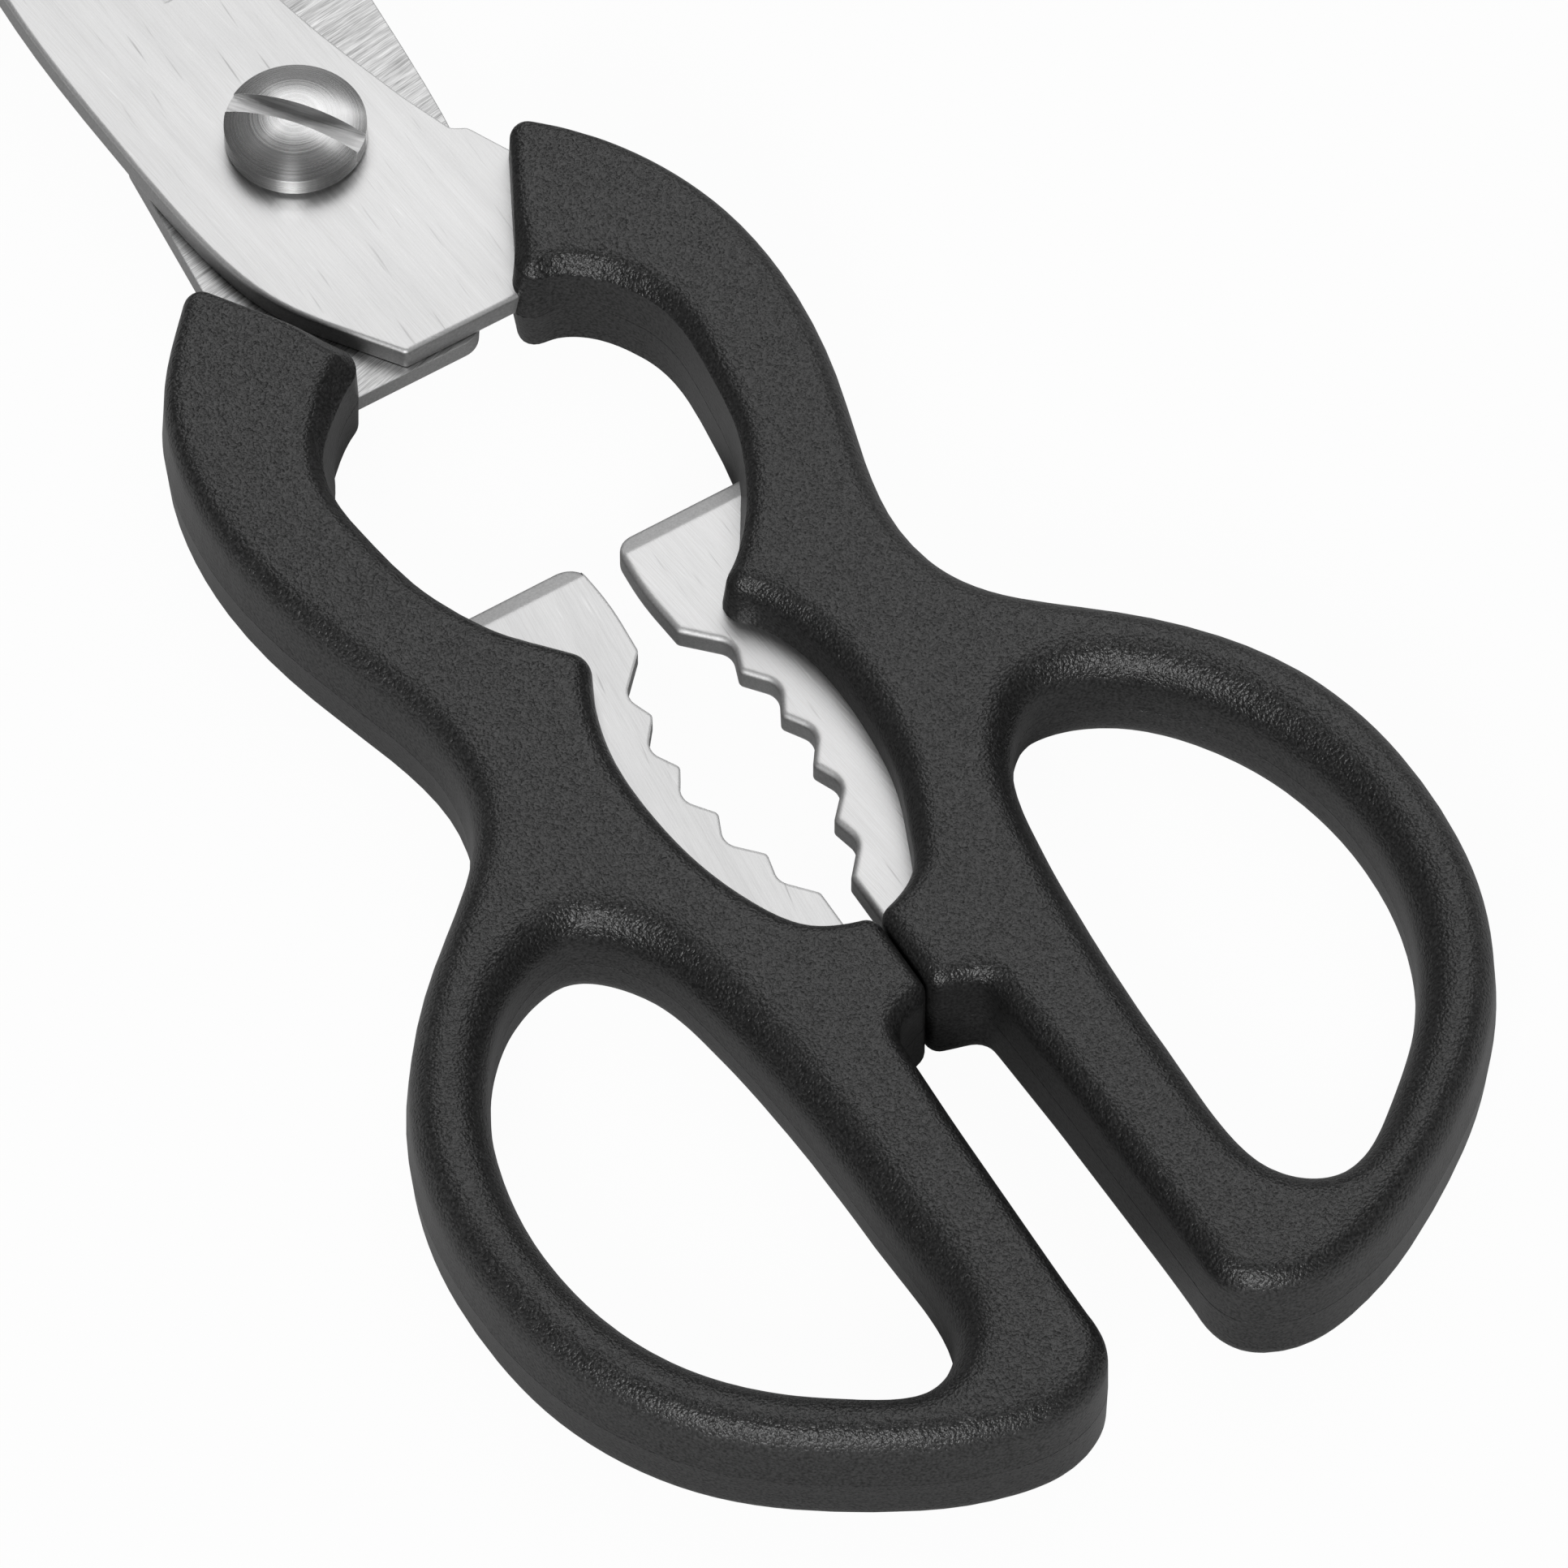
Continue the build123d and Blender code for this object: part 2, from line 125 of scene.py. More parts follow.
class Graph:
    """A short way to write a material's nodes."""

    def __init__(self, name):
        self.material = bpy.data.materials.new(name)
        self.material.use_nodes = True
        self.tree = self.material.node_tree
        self.tree.nodes.clear()

    def node(self, kind, **settings):
        node = self.tree.nodes.new(kind)
        for key, value in settings.items():
            setattr(node, key, value)
        return node

    def link(self, source, target):
        self.tree.links.new(source, target)

    def put(self, socket, value):
        """Sets a socket to a value, or links it to another socket."""
        if isinstance(value, bpy.types.NodeSocket):
            self.link(value, socket)
        else:
            socket.default_value = value

    def math(self, operation, *values):
        node = self.node("ShaderNodeMath", operation=operation)
        for socket, value in zip(node.inputs, values):
            self.put(socket, value)
        return node.outputs[0]

    def add(self, first, *others):
        for other in others:
            first = self.math("ADD", first, other)
        return first

    def subtract(self, a, b):
        return self.math("SUBTRACT", a, b)

    def times(self, a, b):
        return self.math("MULTIPLY", a, b)

    def vector(self, x, y, z):
        node = self.node("ShaderNodeCombineXYZ")
        for socket, value in zip(node.inputs, (x, y, z)):
            self.put(socket, value)
        return node.outputs[0]

    def vector_math(self, operation, *values):
        node = self.node("ShaderNodeVectorMath", operation=operation)
        for socket, value in zip(node.inputs, values):
            self.put(socket, value)
        return node.outputs["Value" if operation == "DOT_PRODUCT" else "Vector"]

    def dot(self, a, b):
        return self.vector_math("DOT_PRODUCT", a, b)

    def parts(self, vector):
        """The three parts of a vector."""
        node = self.node("ShaderNodeSeparateXYZ")
        self.put(node.inputs[0], vector)
        return node.outputs[:3]

    def uprightness(self, normal):
        """One on a level face and zero on a wall."""
        return self.math("ABSOLUTE", self.parts(normal)[2])

    def remap(self, value, low, high, to_low=0.0, to_high=1.0, smooth=False):
        kind = "SMOOTHSTEP" if smooth else "LINEAR"
        node = self.node("ShaderNodeMapRange", clamp=True, interpolation_type=kind)
        for socket, item in zip(node.inputs[:5], (value, low, high, to_low, to_high)):
            self.put(socket, item)
        return node.outputs["Result"]

    def spread(self, noise, low, high):
        """A noise whose usual values are brought to a range."""
        return self.remap(noise, NOISE_LOW, NOISE_HIGH, low, high)

    def mix_color(self, factor, a, b):
        node = self.node("ShaderNodeMix", data_type="RGBA")
        self.put(node.inputs["Factor"], factor)
        self.put(node.inputs[6], a)
        self.put(node.inputs[7], b)
        return node.outputs[2]

    def grey(self, value):
        """A grey colour from a number socket."""
        node = self.node("ShaderNodeCombineColor")
        for socket in node.inputs[:3]:
            self.put(socket, value)
        return node.outputs[0]

    def noise(self, vector, scale, detail=2.0, roughness=0.5):
        """A noise with so many waves to the metre."""
        node = self.node("ShaderNodeTexNoise")
        self.put(node.inputs["Vector"], vector)
        node.inputs["Scale"].default_value = scale
        node.inputs["Detail"].default_value = detail
        node.inputs["Roughness"].default_value = roughness
        return node.outputs["Fac"]

    def position(self):
        return self.node("ShaderNodeTexCoord").outputs["Object"]

    def normal(self):
        return self.node("ShaderNodeTexCoord").outputs["Normal"]

    def softened_normal(self, radius):
        """The normal with sharp edges rounded off over a radius."""
        node = self.node("ShaderNodeBevel", samples=EDGE_SAMPLES)
        node.inputs["Radius"].default_value = radius
        return node.outputs[0]

    def bump(self, height, strength, distance, normal=None):
        node = self.node("ShaderNodeBump")
        self.put(node.inputs["Strength"], strength)
        node.inputs["Distance"].default_value = distance
        self.put(node.inputs["Height"], height)
        if normal is not None:
            self.put(node.inputs["Normal"], normal)
        return node.outputs["Normal"]

    def surface(self, tone, metallic, roughness, normal, **more):
        """The finished material, from a tone or colour and its other values."""
        shader = self.node("ShaderNodeBsdfPrincipled")
        self.put(shader.inputs["Base Color"], tone)
        self.put(shader.inputs["Metallic"], metallic)
        self.put(shader.inputs["Roughness"], roughness)
        self.put(shader.inputs["Normal"], normal)
        for name, value in more.items():
            self.put(shader.inputs[name.replace("_", " ")], value)
        output = self.node("ShaderNodeOutputMaterial")
        self.link(shader.outputs[0], output.inputs["Surface"])
        return self.material


# The plastic: waves to the metre of its fine and coarse grain and of its clouds, the fine grain's
# share, the grain's depth, and how strongly a wall and a face show it
PLASTIC_FINE = 4300
PLASTIC_COARSE = 2000
PLASTIC_CLOUD = 60
PLASTIC_FINE_SHARE = 0.75
PLASTIC_DEPTH = 0.19 * MM
PLASTIC_SHOWN = (0.25, 0.9)
# From which uprightness on it shows the grain and the gloss of a face in full
PLASTIC_FACE_GRAIN = 0.5
PLASTIC_FACE_GLOSS = 0.6
# Its tones, its roughness, its gloss on a wall and on a face, and how grain and clouds vary them
PLASTIC_TONES = (0.0185, 0.0215)
PLASTIC_TONE_GRAIN = 0.008
PLASTIC_ROUGHNESSES = (0.34, 0.46)
PLASTIC_ROUGHNESS_CLOUD = 0.02
PLASTIC_GLOSSES = (0.52, 0.86)
PLASTIC_GLOSS_GRAIN = 0.30


def plastic():
    """Black moulded plastic with a fine spark-eroded grain, which is weaker on the drawn walls."""
    graph = Graph("handle_plastic_grain")
    place = graph.position()
    fine = graph.noise(place, PLASTIC_FINE, 1.5)
    coarse = graph.noise(place, PLASTIC_COARSE)
    cloud = graph.noise(place, PLASTIC_CLOUD, 3.0)
    upright = graph.uprightness(graph.normal())
    height = graph.add(graph.times(fine, PLASTIC_FINE_SHARE), graph.times(coarse, 1 - PLASTIC_FINE_SHARE))
    tone = graph.add(graph.spread(cloud, *PLASTIC_TONES),
                     graph.spread(fine, -PLASTIC_TONE_GRAIN, PLASTIC_TONE_GRAIN))
    rough = graph.add(graph.spread(fine, *PLASTIC_ROUGHNESSES),
                      graph.spread(cloud, -PLASTIC_ROUGHNESS_CLOUD, PLASTIC_ROUGHNESS_CLOUD))
    normal = graph.bump(height, graph.remap(upright, 0.0, PLASTIC_FACE_GRAIN, *PLASTIC_SHOWN), PLASTIC_DEPTH)
    gloss = graph.add(graph.remap(upright, 0.0, PLASTIC_FACE_GLOSS, *PLASTIC_GLOSSES),
                      graph.spread(fine, -PLASTIC_GLOSS_GRAIN, PLASTIC_GLOSS_GRAIN))
    return graph.surface(graph.grey(tone), 0.0, rough, normal, Specular_IOR_Level=gloss)


# Noises drawn out along the brushing: the share of their scale along it, which makes them long
# where it is small, waves to the metre across it, detail, and for the scratches how far they lean
BRUSH_HAIR = (0.05, 9000, 2.0)
BRUSH_BAND = (0.02, 2600, 3.0)
BRUSH_BROAD = (0.03, 500, 2.0)
DARK_SCRATCHES = (0.045, 3000, 1.0, 0.10)
LIGHT_SCRATCHES = (0.060, 3300, 1.0, -0.07)
# Between which values those noises turn into a scratch or from a dark streak into a light one
DARK_SCRATCH_STARTS = (0.68, 0.80)
LIGHT_SCRATCH_STARTS = (0.70, 0.82)
STREAK_STARTS = (0.35, 0.65)
# How strong light scratches are next to dark ones, and how much of the grain is its finest part
LIGHT_SCRATCH_SHARE = 0.4
BRUSH_HAIR_SHARE = 0.55
# How much height counts in the brushing, how much broad streaks and clouds change its tone, its
# roughness, and how strong and deep its relief is
BRUSH_HEIGHT_SHARE = 0.3
BRUSH_TONE_BROAD = 0.02
BRUSH_TONE_CLOUD = 0.025
BRUSH_CLOUD = 60
BRUSH_ROUGHNESSES = (0.32, 0.44)
BRUSH_STRENGTH = 0.30
BRUSH_DEPTH = 0.03 * MM
# The pits to the metre, the tones and the roughness of rounded and of sheared edges; the light tones of
# rounded edges are a painted highlight on their ground finish
EDGE_PITS = 5200
ROUNDED_HIGHLIGHT_TONES = (0.80, 0.96)
SHEARED_TONES = (0.38, 0.50)
EDGE_ROUGHNESS = 0.58
# Between which values of uprightness an edge turns into a face, and a wall into a rounded edge with its
# painted highlight
FACE_STARTS = (0.955, 0.985)
ROUNDED_HIGHLIGHT_STARTS = (0.35, 0.65)

# Each steel sheet: the direction of its brushing, the tone of its face, how strong its streaks and
# scratches are, how much its brushing fans out, and over which radius its edges look rounded off and their
# painted highlight spreads
BRUSHED_SHEETS = {
    "upper_blade": dict(along=(-0.087, 0.996), tone=0.735, streaks=0.09, scratches=0.23),
    "lower_blade": dict(along=(0.96, 0.28), tone=0.62, streaks=0.32, scratches=0.34, fan=6.0),
    "right_jaw": dict(along=(-0.10, 0.995), tone=0.745, streaks=0.10, scratches=0.23, soft_radius=0.40 * MM),
    "left_jaw": dict(along=(0.10, 0.995), tone=0.72, streaks=0.105, scratches=0.30, soft_radius=0.40 * MM),
}


def brushed(name, along, tone, streaks, scratches, fan=0.0, soft_radius=0.18 * MM):
    """Brushed steel. The brushing runs along a level direction, sheared walls are darker, and rounded edges
    are painted lighter as a highlight on their ground finish.
    """
    graph = Graph(name)
    place = graph.position()
    run = graph.dot(place, (along[0], along[1], 0))
    across = graph.dot(place, (-along[1], along[0], 0))
    across = graph.times(across, graph.add(1.0, graph.times(run, fan)))
    level = graph.times(graph.parts(place)[2], BRUSH_HEIGHT_SHARE)

    def lines(stretch, scale, detail, lean=0.0):
        """Noise drawn out along the brushing."""
        at = graph.vector(graph.times(run, stretch), graph.add(across, graph.times(run, lean)), level)
        return graph.noise(at, scale, detail, 0.6)

    hair = lines(*BRUSH_HAIR)
    band = lines(*BRUSH_BAND)
    broad = lines(*BRUSH_BROAD)
    cloud = graph.noise(place, BRUSH_CLOUD, 3.0, 0.55)
    dark_scratch = graph.remap(lines(*DARK_SCRATCHES), *DARK_SCRATCH_STARTS)
    light_scratch = graph.remap(lines(*LIGHT_SCRATCHES), *LIGHT_SCRATCH_STARTS)
    grain = graph.add(graph.times(hair, BRUSH_HAIR_SHARE), graph.times(band, 1 - BRUSH_HAIR_SHARE))

    face_tone = graph.add(tone, graph.remap(grain, *STREAK_STARTS, -streaks, streaks),
                          graph.remap(broad, *STREAK_STARTS, -BRUSH_TONE_BROAD, BRUSH_TONE_BROAD),
                          graph.spread(cloud, -BRUSH_TONE_CLOUD, BRUSH_TONE_CLOUD))
    face_tone = graph.subtract(face_tone, graph.times(dark_scratch, scratches))
    face_tone = graph.add(face_tone, graph.times(light_scratch, scratches * LIGHT_SCRATCH_SHARE))
    pits = graph.noise(place, EDGE_PITS, 2.0, 0.6)
    # Rounded edges are painted lighter than the face: a painted highlight on their ground finish
    rounded_highlight_tone = graph.spread(pits, *ROUNDED_HIGHLIGHT_TONES)
    sheared_tone = graph.spread(pits, *SHEARED_TONES)

    soft_normal = graph.softened_normal(soft_radius)
    upright = graph.uprightness(soft_normal)
    face_share = graph.remap(upright, *FACE_STARTS, smooth=True)
    # Where the rounded edges' painted highlight takes over from the sheared walls' tone
    rounded_highlight_share = graph.remap(upright, *ROUNDED_HIGHLIGHT_STARTS, smooth=True)
    color = graph.mix_color(rounded_highlight_share, graph.grey(sheared_tone), graph.grey(rounded_highlight_tone))
    color = graph.mix_color(face_share, color, graph.grey(face_tone))
    rough = graph.add(graph.times(graph.spread(grain, *BRUSH_ROUGHNESSES), face_share),
                      graph.times(graph.subtract(1.0, face_share), EDGE_ROUGHNESS))
    normal = graph.bump(grain, BRUSH_STRENGTH, BRUSH_DEPTH, soft_normal)
    return graph.surface(color, 1.0, rough, normal)


# The screw and nut: waves to the metre of the fine and wide rings and the clouds, the tones that
# they make, how much darker walls are painted as shade, the roughness, how strong and deep the
# relief is, and how far the rings draw out a highlight
RINGS_FINE = 5200
RINGS_WIDE = 1400
RINGS_CLOUD = 700
RING_TONES = (0.68, 0.86)
RING_TONE_WIDE = 0.07
RING_TONE_CLOUD = 0.03
RING_WALL_PAINTED_SHADE = 0.12
RING_ROUGHNESSES = (0.21, 0.31)
RING_STRENGTH = 0.4
RING_DEPTH = 0.02 * MM
RING_GLINT = 0.75
# The screw's slot: its direction in degrees, half its width with a little to spare, and its milling
# with the share of its scale along the slot
SLOT_ANGLE = 128
SLOT_HALF_WIDTH = 0.92 * MM
MILLING = 4000
MILLING_STRETCH = 0.08
SLOT_TONES = (0.66, 0.94)
# How much darker the slot's walls are painted, as shade in the slot
SLOT_WALL_PAINTED_SHADE = 0.04
SLOT_ROUGHER = 0.26
# Between which values of uprightness a wall turns into a face, where the painted wall shade ends
SHADED_WALL_ENDS = (0.3, 0.6)


def turned_steel(name, center):
    """Turned steel with fine rings about the pivot's axis and a milled slot across the head."""
    graph = Graph(name)
    place = graph.vector_math("SUBTRACT", graph.position(), (0, center, 0))
    x, y, z = graph.parts(place)
    radius = graph.math("SQRT", graph.add(graph.times(x, x), graph.times(y, y)))
    radial = graph.vector_math("NORMALIZE", graph.vector(x, y, 0))
    ring_at = graph.vector(radius, 0, z)
    rings = graph.noise(ring_at, RINGS_FINE, 2.0, 0.6)
    wide_rings = graph.noise(ring_at, RINGS_WIDE)
    cloud = graph.noise(place, RINGS_CLOUD, 3.0, 0.55)

    angle = math.radians(SLOT_ANGLE)
    off_slot = graph.math("ABSOLUTE", graph.dot(place, (-math.sin(angle), math.cos(angle), 0)))
    along = graph.dot(place, (math.cos(angle), math.sin(angle), 0))
    in_slot = graph.math("LESS_THAN", off_slot, SLOT_HALF_WIDTH)
    milled_at = graph.vector(graph.times(along, MILLING_STRETCH), off_slot, z)
    milled = graph.noise(milled_at, MILLING, 2.0, 0.6)

    painted_wall_shade_share = graph.remap(graph.uprightness(graph.normal()), *SHADED_WALL_ENDS, 1.0, 0.0, smooth=True)
    ring_tone = graph.add(graph.spread(rings, *RING_TONES),
                          graph.spread(wide_rings, -RING_TONE_WIDE, RING_TONE_WIDE),
                          graph.spread(cloud, -RING_TONE_CLOUD, RING_TONE_CLOUD))
    # Walls of the rings and of the slot are painted darker, as shade
    ring_tone = graph.subtract(ring_tone, graph.times(painted_wall_shade_share, RING_WALL_PAINTED_SHADE))
    slot_tone = graph.subtract(graph.spread(milled, *SLOT_TONES), graph.times(painted_wall_shade_share, SLOT_WALL_PAINTED_SHADE))
    color = graph.mix_color(in_slot, graph.grey(ring_tone), graph.grey(slot_tone))
    rough = graph.add(graph.spread(rings, *RING_ROUGHNESSES), graph.times(in_slot, SLOT_ROUGHER))
    normal = graph.bump(rings, RING_STRENGTH, RING_DEPTH)
    return graph.surface(color, 1.0, rough, normal, Anisotropic=RING_GLINT, Tangent=radial)


# The washer: waves to the metre of its spots and clouds, its tones, its roughness and its relief
WASHER_SPOTS = 2200
WASHER_CLOUD = 300
WASHER_TONES = (0.40, 0.52)
WASHER_TONE_CLOUD = 0.04
WASHER_ROUGHNESSES = (0.34, 0.46)
WASHER_STRENGTH = 0.2
WASHER_DEPTH = 0.02 * MM


def rolled_steel():
    """The plain grey steel of the thin washer."""
    graph = Graph("washer_rolled_steel")
    place = graph.position()
    spots = graph.noise(place, WASHER_SPOTS, 3.0, 0.6)
    cloud = graph.noise(place, WASHER_CLOUD)
    tone = graph.add(graph.spread(spots, *WASHER_TONES),
                     graph.spread(cloud, -WASHER_TONE_CLOUD, WASHER_TONE_CLOUD))
    rough = graph.spread(spots, *WASHER_ROUGHNESSES)
    normal = graph.bump(spots, WASHER_STRENGTH, WASHER_DEPTH)
    return graph.surface(graph.grey(tone), 1.0, rough, normal)


def floor_material():
    """A white floor that keeps the object's shadow."""
    graph = Graph("floor_white")
    path = graph.node("ShaderNodeLightPath")
    mirrored = graph.math("MAXIMUM", path.outputs["Is Glossy Ray"], path.outputs["Is Transmission Ray"])
    share = graph.math("MAXIMUM", graph.times(path.outputs["Is Camera Ray"], FLOOR_SEEN),
                       graph.times(mirrored, FLOOR_MIRRORED))
    matte = graph.node("ShaderNodeBsdfDiffuse")
    tone = graph.spread(graph.noise(graph.position(), FLOOR_CLOUD), *FLOOR_TONES)
    graph.put(matte.inputs["Color"], graph.grey(tone))
    glow = graph.node("ShaderNodeEmission")
    glow.inputs["Strength"].default_value = 1.0
    mix = graph.node("ShaderNodeMixShader")
    graph.put(mix.inputs[0], share)
    graph.link(matte.outputs[0], mix.inputs[1])
    graph.link(glow.outputs[0], mix.inputs[2])
    output = graph.node("ShaderNodeOutputMaterial")
    graph.link(mix.outputs[0], output.inputs["Surface"])
    return graph.material


def make_floor():
    xs = np.linspace(-FLOOR_HALF, FLOOR_HALF, FLOOR_STEPS + 1)
    points = [(x, y, 0) for y in xs for x in xs]
    faces = []
    for row in range(FLOOR_STEPS):
        for column in range(FLOOR_STEPS):
            first = row * (FLOOR_STEPS + 1) + column
            above = first + FLOOR_STEPS + 1
            faces.append((first, first + 1, above + 1, above))
    mesh = bpy.data.meshes.new("floor")
    mesh.from_pydata(points, [], faces)
    mesh.materials.append(floor_material())
    floor = bpy.data.objects.new("floor", mesh)
    bpy.context.scene.collection.objects.link(floor)


def paint(obj, material):
    obj.data.materials.clear()
    obj.data.materials.append(material)


# The outlines of a handle's solid: the height at which it is cut, the least area in square metres
# of an outline that counts, how near corners lie that are one, and the shortest stretch kept
SLICE_HEIGHT = 7.8 * MM
LEAST_AREA = 1e-5
WELD_GAP = 1e-7
LEAST_STRETCH = 1e-8
# The points of the refined handle: how far apart they are along an outline and in the grid on its
# face, the least distance between two on the face, and how near the triangulation joins them, in mm
STEP = 0.35 * MM
GRID_STEP = 1.2 * MM
LEAST_GAP = 0.13 * MM
JOINING_GAP_MM = 1e-5
# Over how many points on each side the normals and the values given at places are smoothed
NORMAL_STEPS = 2
BLUR_STEPS = 5
# The rounding of the finger hole and the swell of its wall, and how softly that rounding meets the
# one of the rim in a ridge
HOLE_RADIUS = 3.7 * MM
HOLE_SWELL = 0.1 * MM
RIDGE_WIDTH = 0.5 * MM
# A rounding is made by rows of the wall where it is steeper than this, in degrees, and on the face
# by rows of points at these gentler slopes.
STRIP_SLOPE = 36
STRIP_ROWS = 6
CREST_SLOPES = (29, 22, 15, 8, 0)
# How steeply a bevel falls at most, and how fast it fades out where a rounding gets as steep as a wall
MOST_BEVEL_FALL = 1.1
BEVEL_FADE = 8
# The rows of each half of the wall, as shares of the way from mid-height and of the swell there,
# and the depth of the parting line between the halves
WALL_ROWS = [(0.985, 0.03), (0.7, 0.3), (0.35, 0.65), (0.05, 0.95), (0.013, 0.99)]
SEAM_DEPTH = 0.055 * MM

# Places along a right handle's outline, in order from its front tip: across and forward in mm, the
# radius of the top edge there, the sine of the steepest slope that it reaches before the wall
# starts, the radius of the bottom edge, how far the wall swells at mid-height, where the two halves
# of the mould meet, how far the outline stands outside that of the CAD node, and the width of the
# bevel at that steepest slope. A left handle is the mirror image.
EDGE_PLACES = [
    (14.1, 15.8, 1.3, 1.0, 1.3, 0.20, 0.0, 0.0),
    (19.6, 9.8, 1.6, 1.0, 1.5, 0.25, 0.15, 0.0),
    (24.0, -0.3, 1.9, 1.0, 1.6, 0.30, 0.22, 0.0),
    (24.7, -7.4, 2.3, 1.0, 1.8, 0.30, 0.26, 0.0),
    (22.9, -19.1, 2.6, 1.0, 1.8, 0.30, 0.25, 0.0),
    (20.4, -32.4, 2.8, 1.0, 1.8, 0.25, 0.15, 0.0),
    (22.0, -39.5, 2.8, 1.0, 1.8, 0.25, 0.35, 0.0),
    (28.4, -45.8, 2.8, 1.0, 2.0, 0.25, 0.0, 0.0),
    (36.6, -54.6, 2.8, 1.0, 2.0, 0.25, 0.08, 0.0),
    (40.5, -62.6, 2.8, 1.0, 2.0, 0.25, 0.0, 0.0),
    (41.6, -72.4, 2.8, 1.0, 1.9, 0.25, 0.25, 0.0),
    (40.4, -80.5, 2.8, 1.0, 1.9, 0.25, 0.40, 0.0),
    (33.4, -93.6, 2.8, 1.0, 1.8, 0.25, 0.40, 0.0),
    (24.4, -100.4, 2.8, 1.0, 1.7, 0.25, 0.45, 0.0),
    (15.6, -104.5, 2.8, 1.0, 1.7, 0.20, 0.30, 0.0),
    (10.5, -105.0, 2.6, 1.0, 1.6, 0.10, 0.55, 0.0),
    (5.0, -101.4, 2.4, 1.0, 1.8, 0.05, 0.05, 0.0),
    (4.6, -95.0, 2.4, 1.0, 2.0, 0.05, -0.10, 0.0),
    (4.1, -80.0, 2.4, 1.0, 2.0, 0.05, -0.22, 0.0),
    (3.9, -70.7, 2.3, 1.0, 1.8, 0.05, -0.15, 0.0),
    (0.1, -69.2, 1.8, 1.0, 1.3, 0.0, 0.0, 0.0),
    (0.1, -61.3, 1.8, 1.0, 1.3, 0.0, 0.0, 0.0),
    (2.0, -60.9, 2.0, 1.0, 1.4, 0.05, 0.10, 0.0),
    (5.6, -56.0, 2.5, 1.0, 1.5, 0.05, 0.35, 0.0),
    (9.7, -43.4, 2.7, 1.0, 1.5, 0.10, 0.30, 0.0),
    (6.6, -30.3, 2.3, 1.0, 1.5, 0.15, 0.40, 0.0),
    (9.2, -28.0, 1.9, 0.84, 1.3, 0.10, 0.32, 0.1),
    (13.0, -20.5, 2.0, 0.80, 1.3, 0.15, 0.12, 0.25),
    (15.0, -12.9, 2.1, 0.78, 1.3, 0.15, 0.0, 0.4),
    (12.0, -0.3, 2.3, 0.75, 1.4, 0.10, 0.0, 0.8),
    (7.0, 2.6, 2.2, 0.78, 1.3, 0.10, 0.0, 0.6),
    (10.5, 9.0, 1.3, 1.0, 1.3, 0.20, 0.0, 0.0),
]
# Where only one handle differs: its side, the place in mm, how far this reaches, and what it adds to
# the outline, to the swell and to the bevel.
SIDE_PLACES = [
    (-1, 14.2, -3.9, 2.8, 0.15, 0.75, 0.0),
    (-1, 9.0, 2.2, 5.0, 0.0, 0.0, 0.6),
    (-1, 24.6, -8.0, 9.0, -0.12, 0.0, 0.0),
    (1, 6.4, -30.4, 2.6, 0.20, 0.30, 0.0),
    (1, 6.5, -30.2, 1.1, 0.45, 0.0, 0.0),
    (1, 11.0, -24.5, 4.0, 0.10, 0.55, 0.0),
    (1, 7.2, 2.4, 1.8, 0.70, 0.75, -0.3),
    (1, 7.6, -56.0, 4.0, 0.25, 0.0, 0.0),
]
# The finger hole: places in mm and how much nearer to its middle its edge stands than in the CAD
# node.
HOLE_PLACES = [
    (35.8, -72.2, -0.20), (34.5, -81.1, -0.25), (30.1, -89.0, -0.25), (25.7, -93.1, -0.40),
    (20.8, -96.7, 0.0), (18.0, -97.6, -0.12), (15.2, -96.5, -0.10), (13.3, -94.1, 0.27),
    (12.6, -91.2, 0.45), (12.7, -85.2, 0.10), (13.0, -79.2, 0.0), (13.4, -70.1, 0.18),
    (14.0, -64.1, 0.18), (14.7, -58.1, 0.36), (15.5, -55.2, 0.50), (17.1, -52.6, 0.58),
    (19.4, -50.7, 0.38), (22.4, -50.7, 0.0), (27.7, -53.4, -0.12), (33.2, -60.5, -0.12),
    (35.2, -66.2, -0.06),
]
# Where only one handle's hole differs: its side, the place, how far this reaches, all in mm, and how
# much nearer its edge stands there.
HOLE_SIDE_PLACES = [
    (1, 21.5, -96.0, 4.0, -0.35),
    (-1, 12.8, -82.0, 9.0, 0.20),
]


def welded_triangles(mesh):
    """A mesh's corners, and its triangles with corners that lie in one place counted as one."""
    mesh.calc_loop_triangles()
    corners = np.empty(len(mesh.vertices) * 3)
    mesh.vertices.foreach_get("co", corners)
    corners = corners.reshape(-1, 3)
    first_there = {}
    same = np.empty(len(corners), int)
    for i, place in enumerate(map(tuple, np.round(corners / WELD_GAP).astype(int))):
        same[i] = first_there.setdefault(place, i)
    triangles = np.empty(len(mesh.loop_triangles) * 3, int)
    mesh.loop_triangles.foreach_get("vertices", triangles)
    return corners, same[triangles.reshape(-1, 3)]


def slice_loops(mesh, height):
    """The closed loops in which a mesh crosses a level plane, as arrays of points."""
    corners, triangles = welded_triangles(mesh)
    above = corners[:, 2] > height
    points = {}
    links = {}
    for a, b, c in triangles:
        crossed = []
        for start, end in ((a, b), (b, c), (c, a)):
            if above[start] != above[end]:
                key = (min(start, end), max(start, end))
                if key not in points:
                    low, high = corners[key[0]], corners[key[1]]
                    points[key] = low + (high - low) * ((height - low[2]) / (high[2] - low[2]))
                crossed.append(key)
        if crossed:
            links.setdefault(crossed[0], []).append(crossed[1])
            links.setdefault(crossed[1], []).append(crossed[0])
    loops = []
    left = set(links)
    while left:
        loop = []
        onward = [next(iter(left))]
        while onward:
            loop.append(onward[0])
            left.discard(onward[0])
            onward = [key for key in links[onward[0]] if key in left]
        loops.append(np.array([points[key][:2] for key in loop]))
    return loops


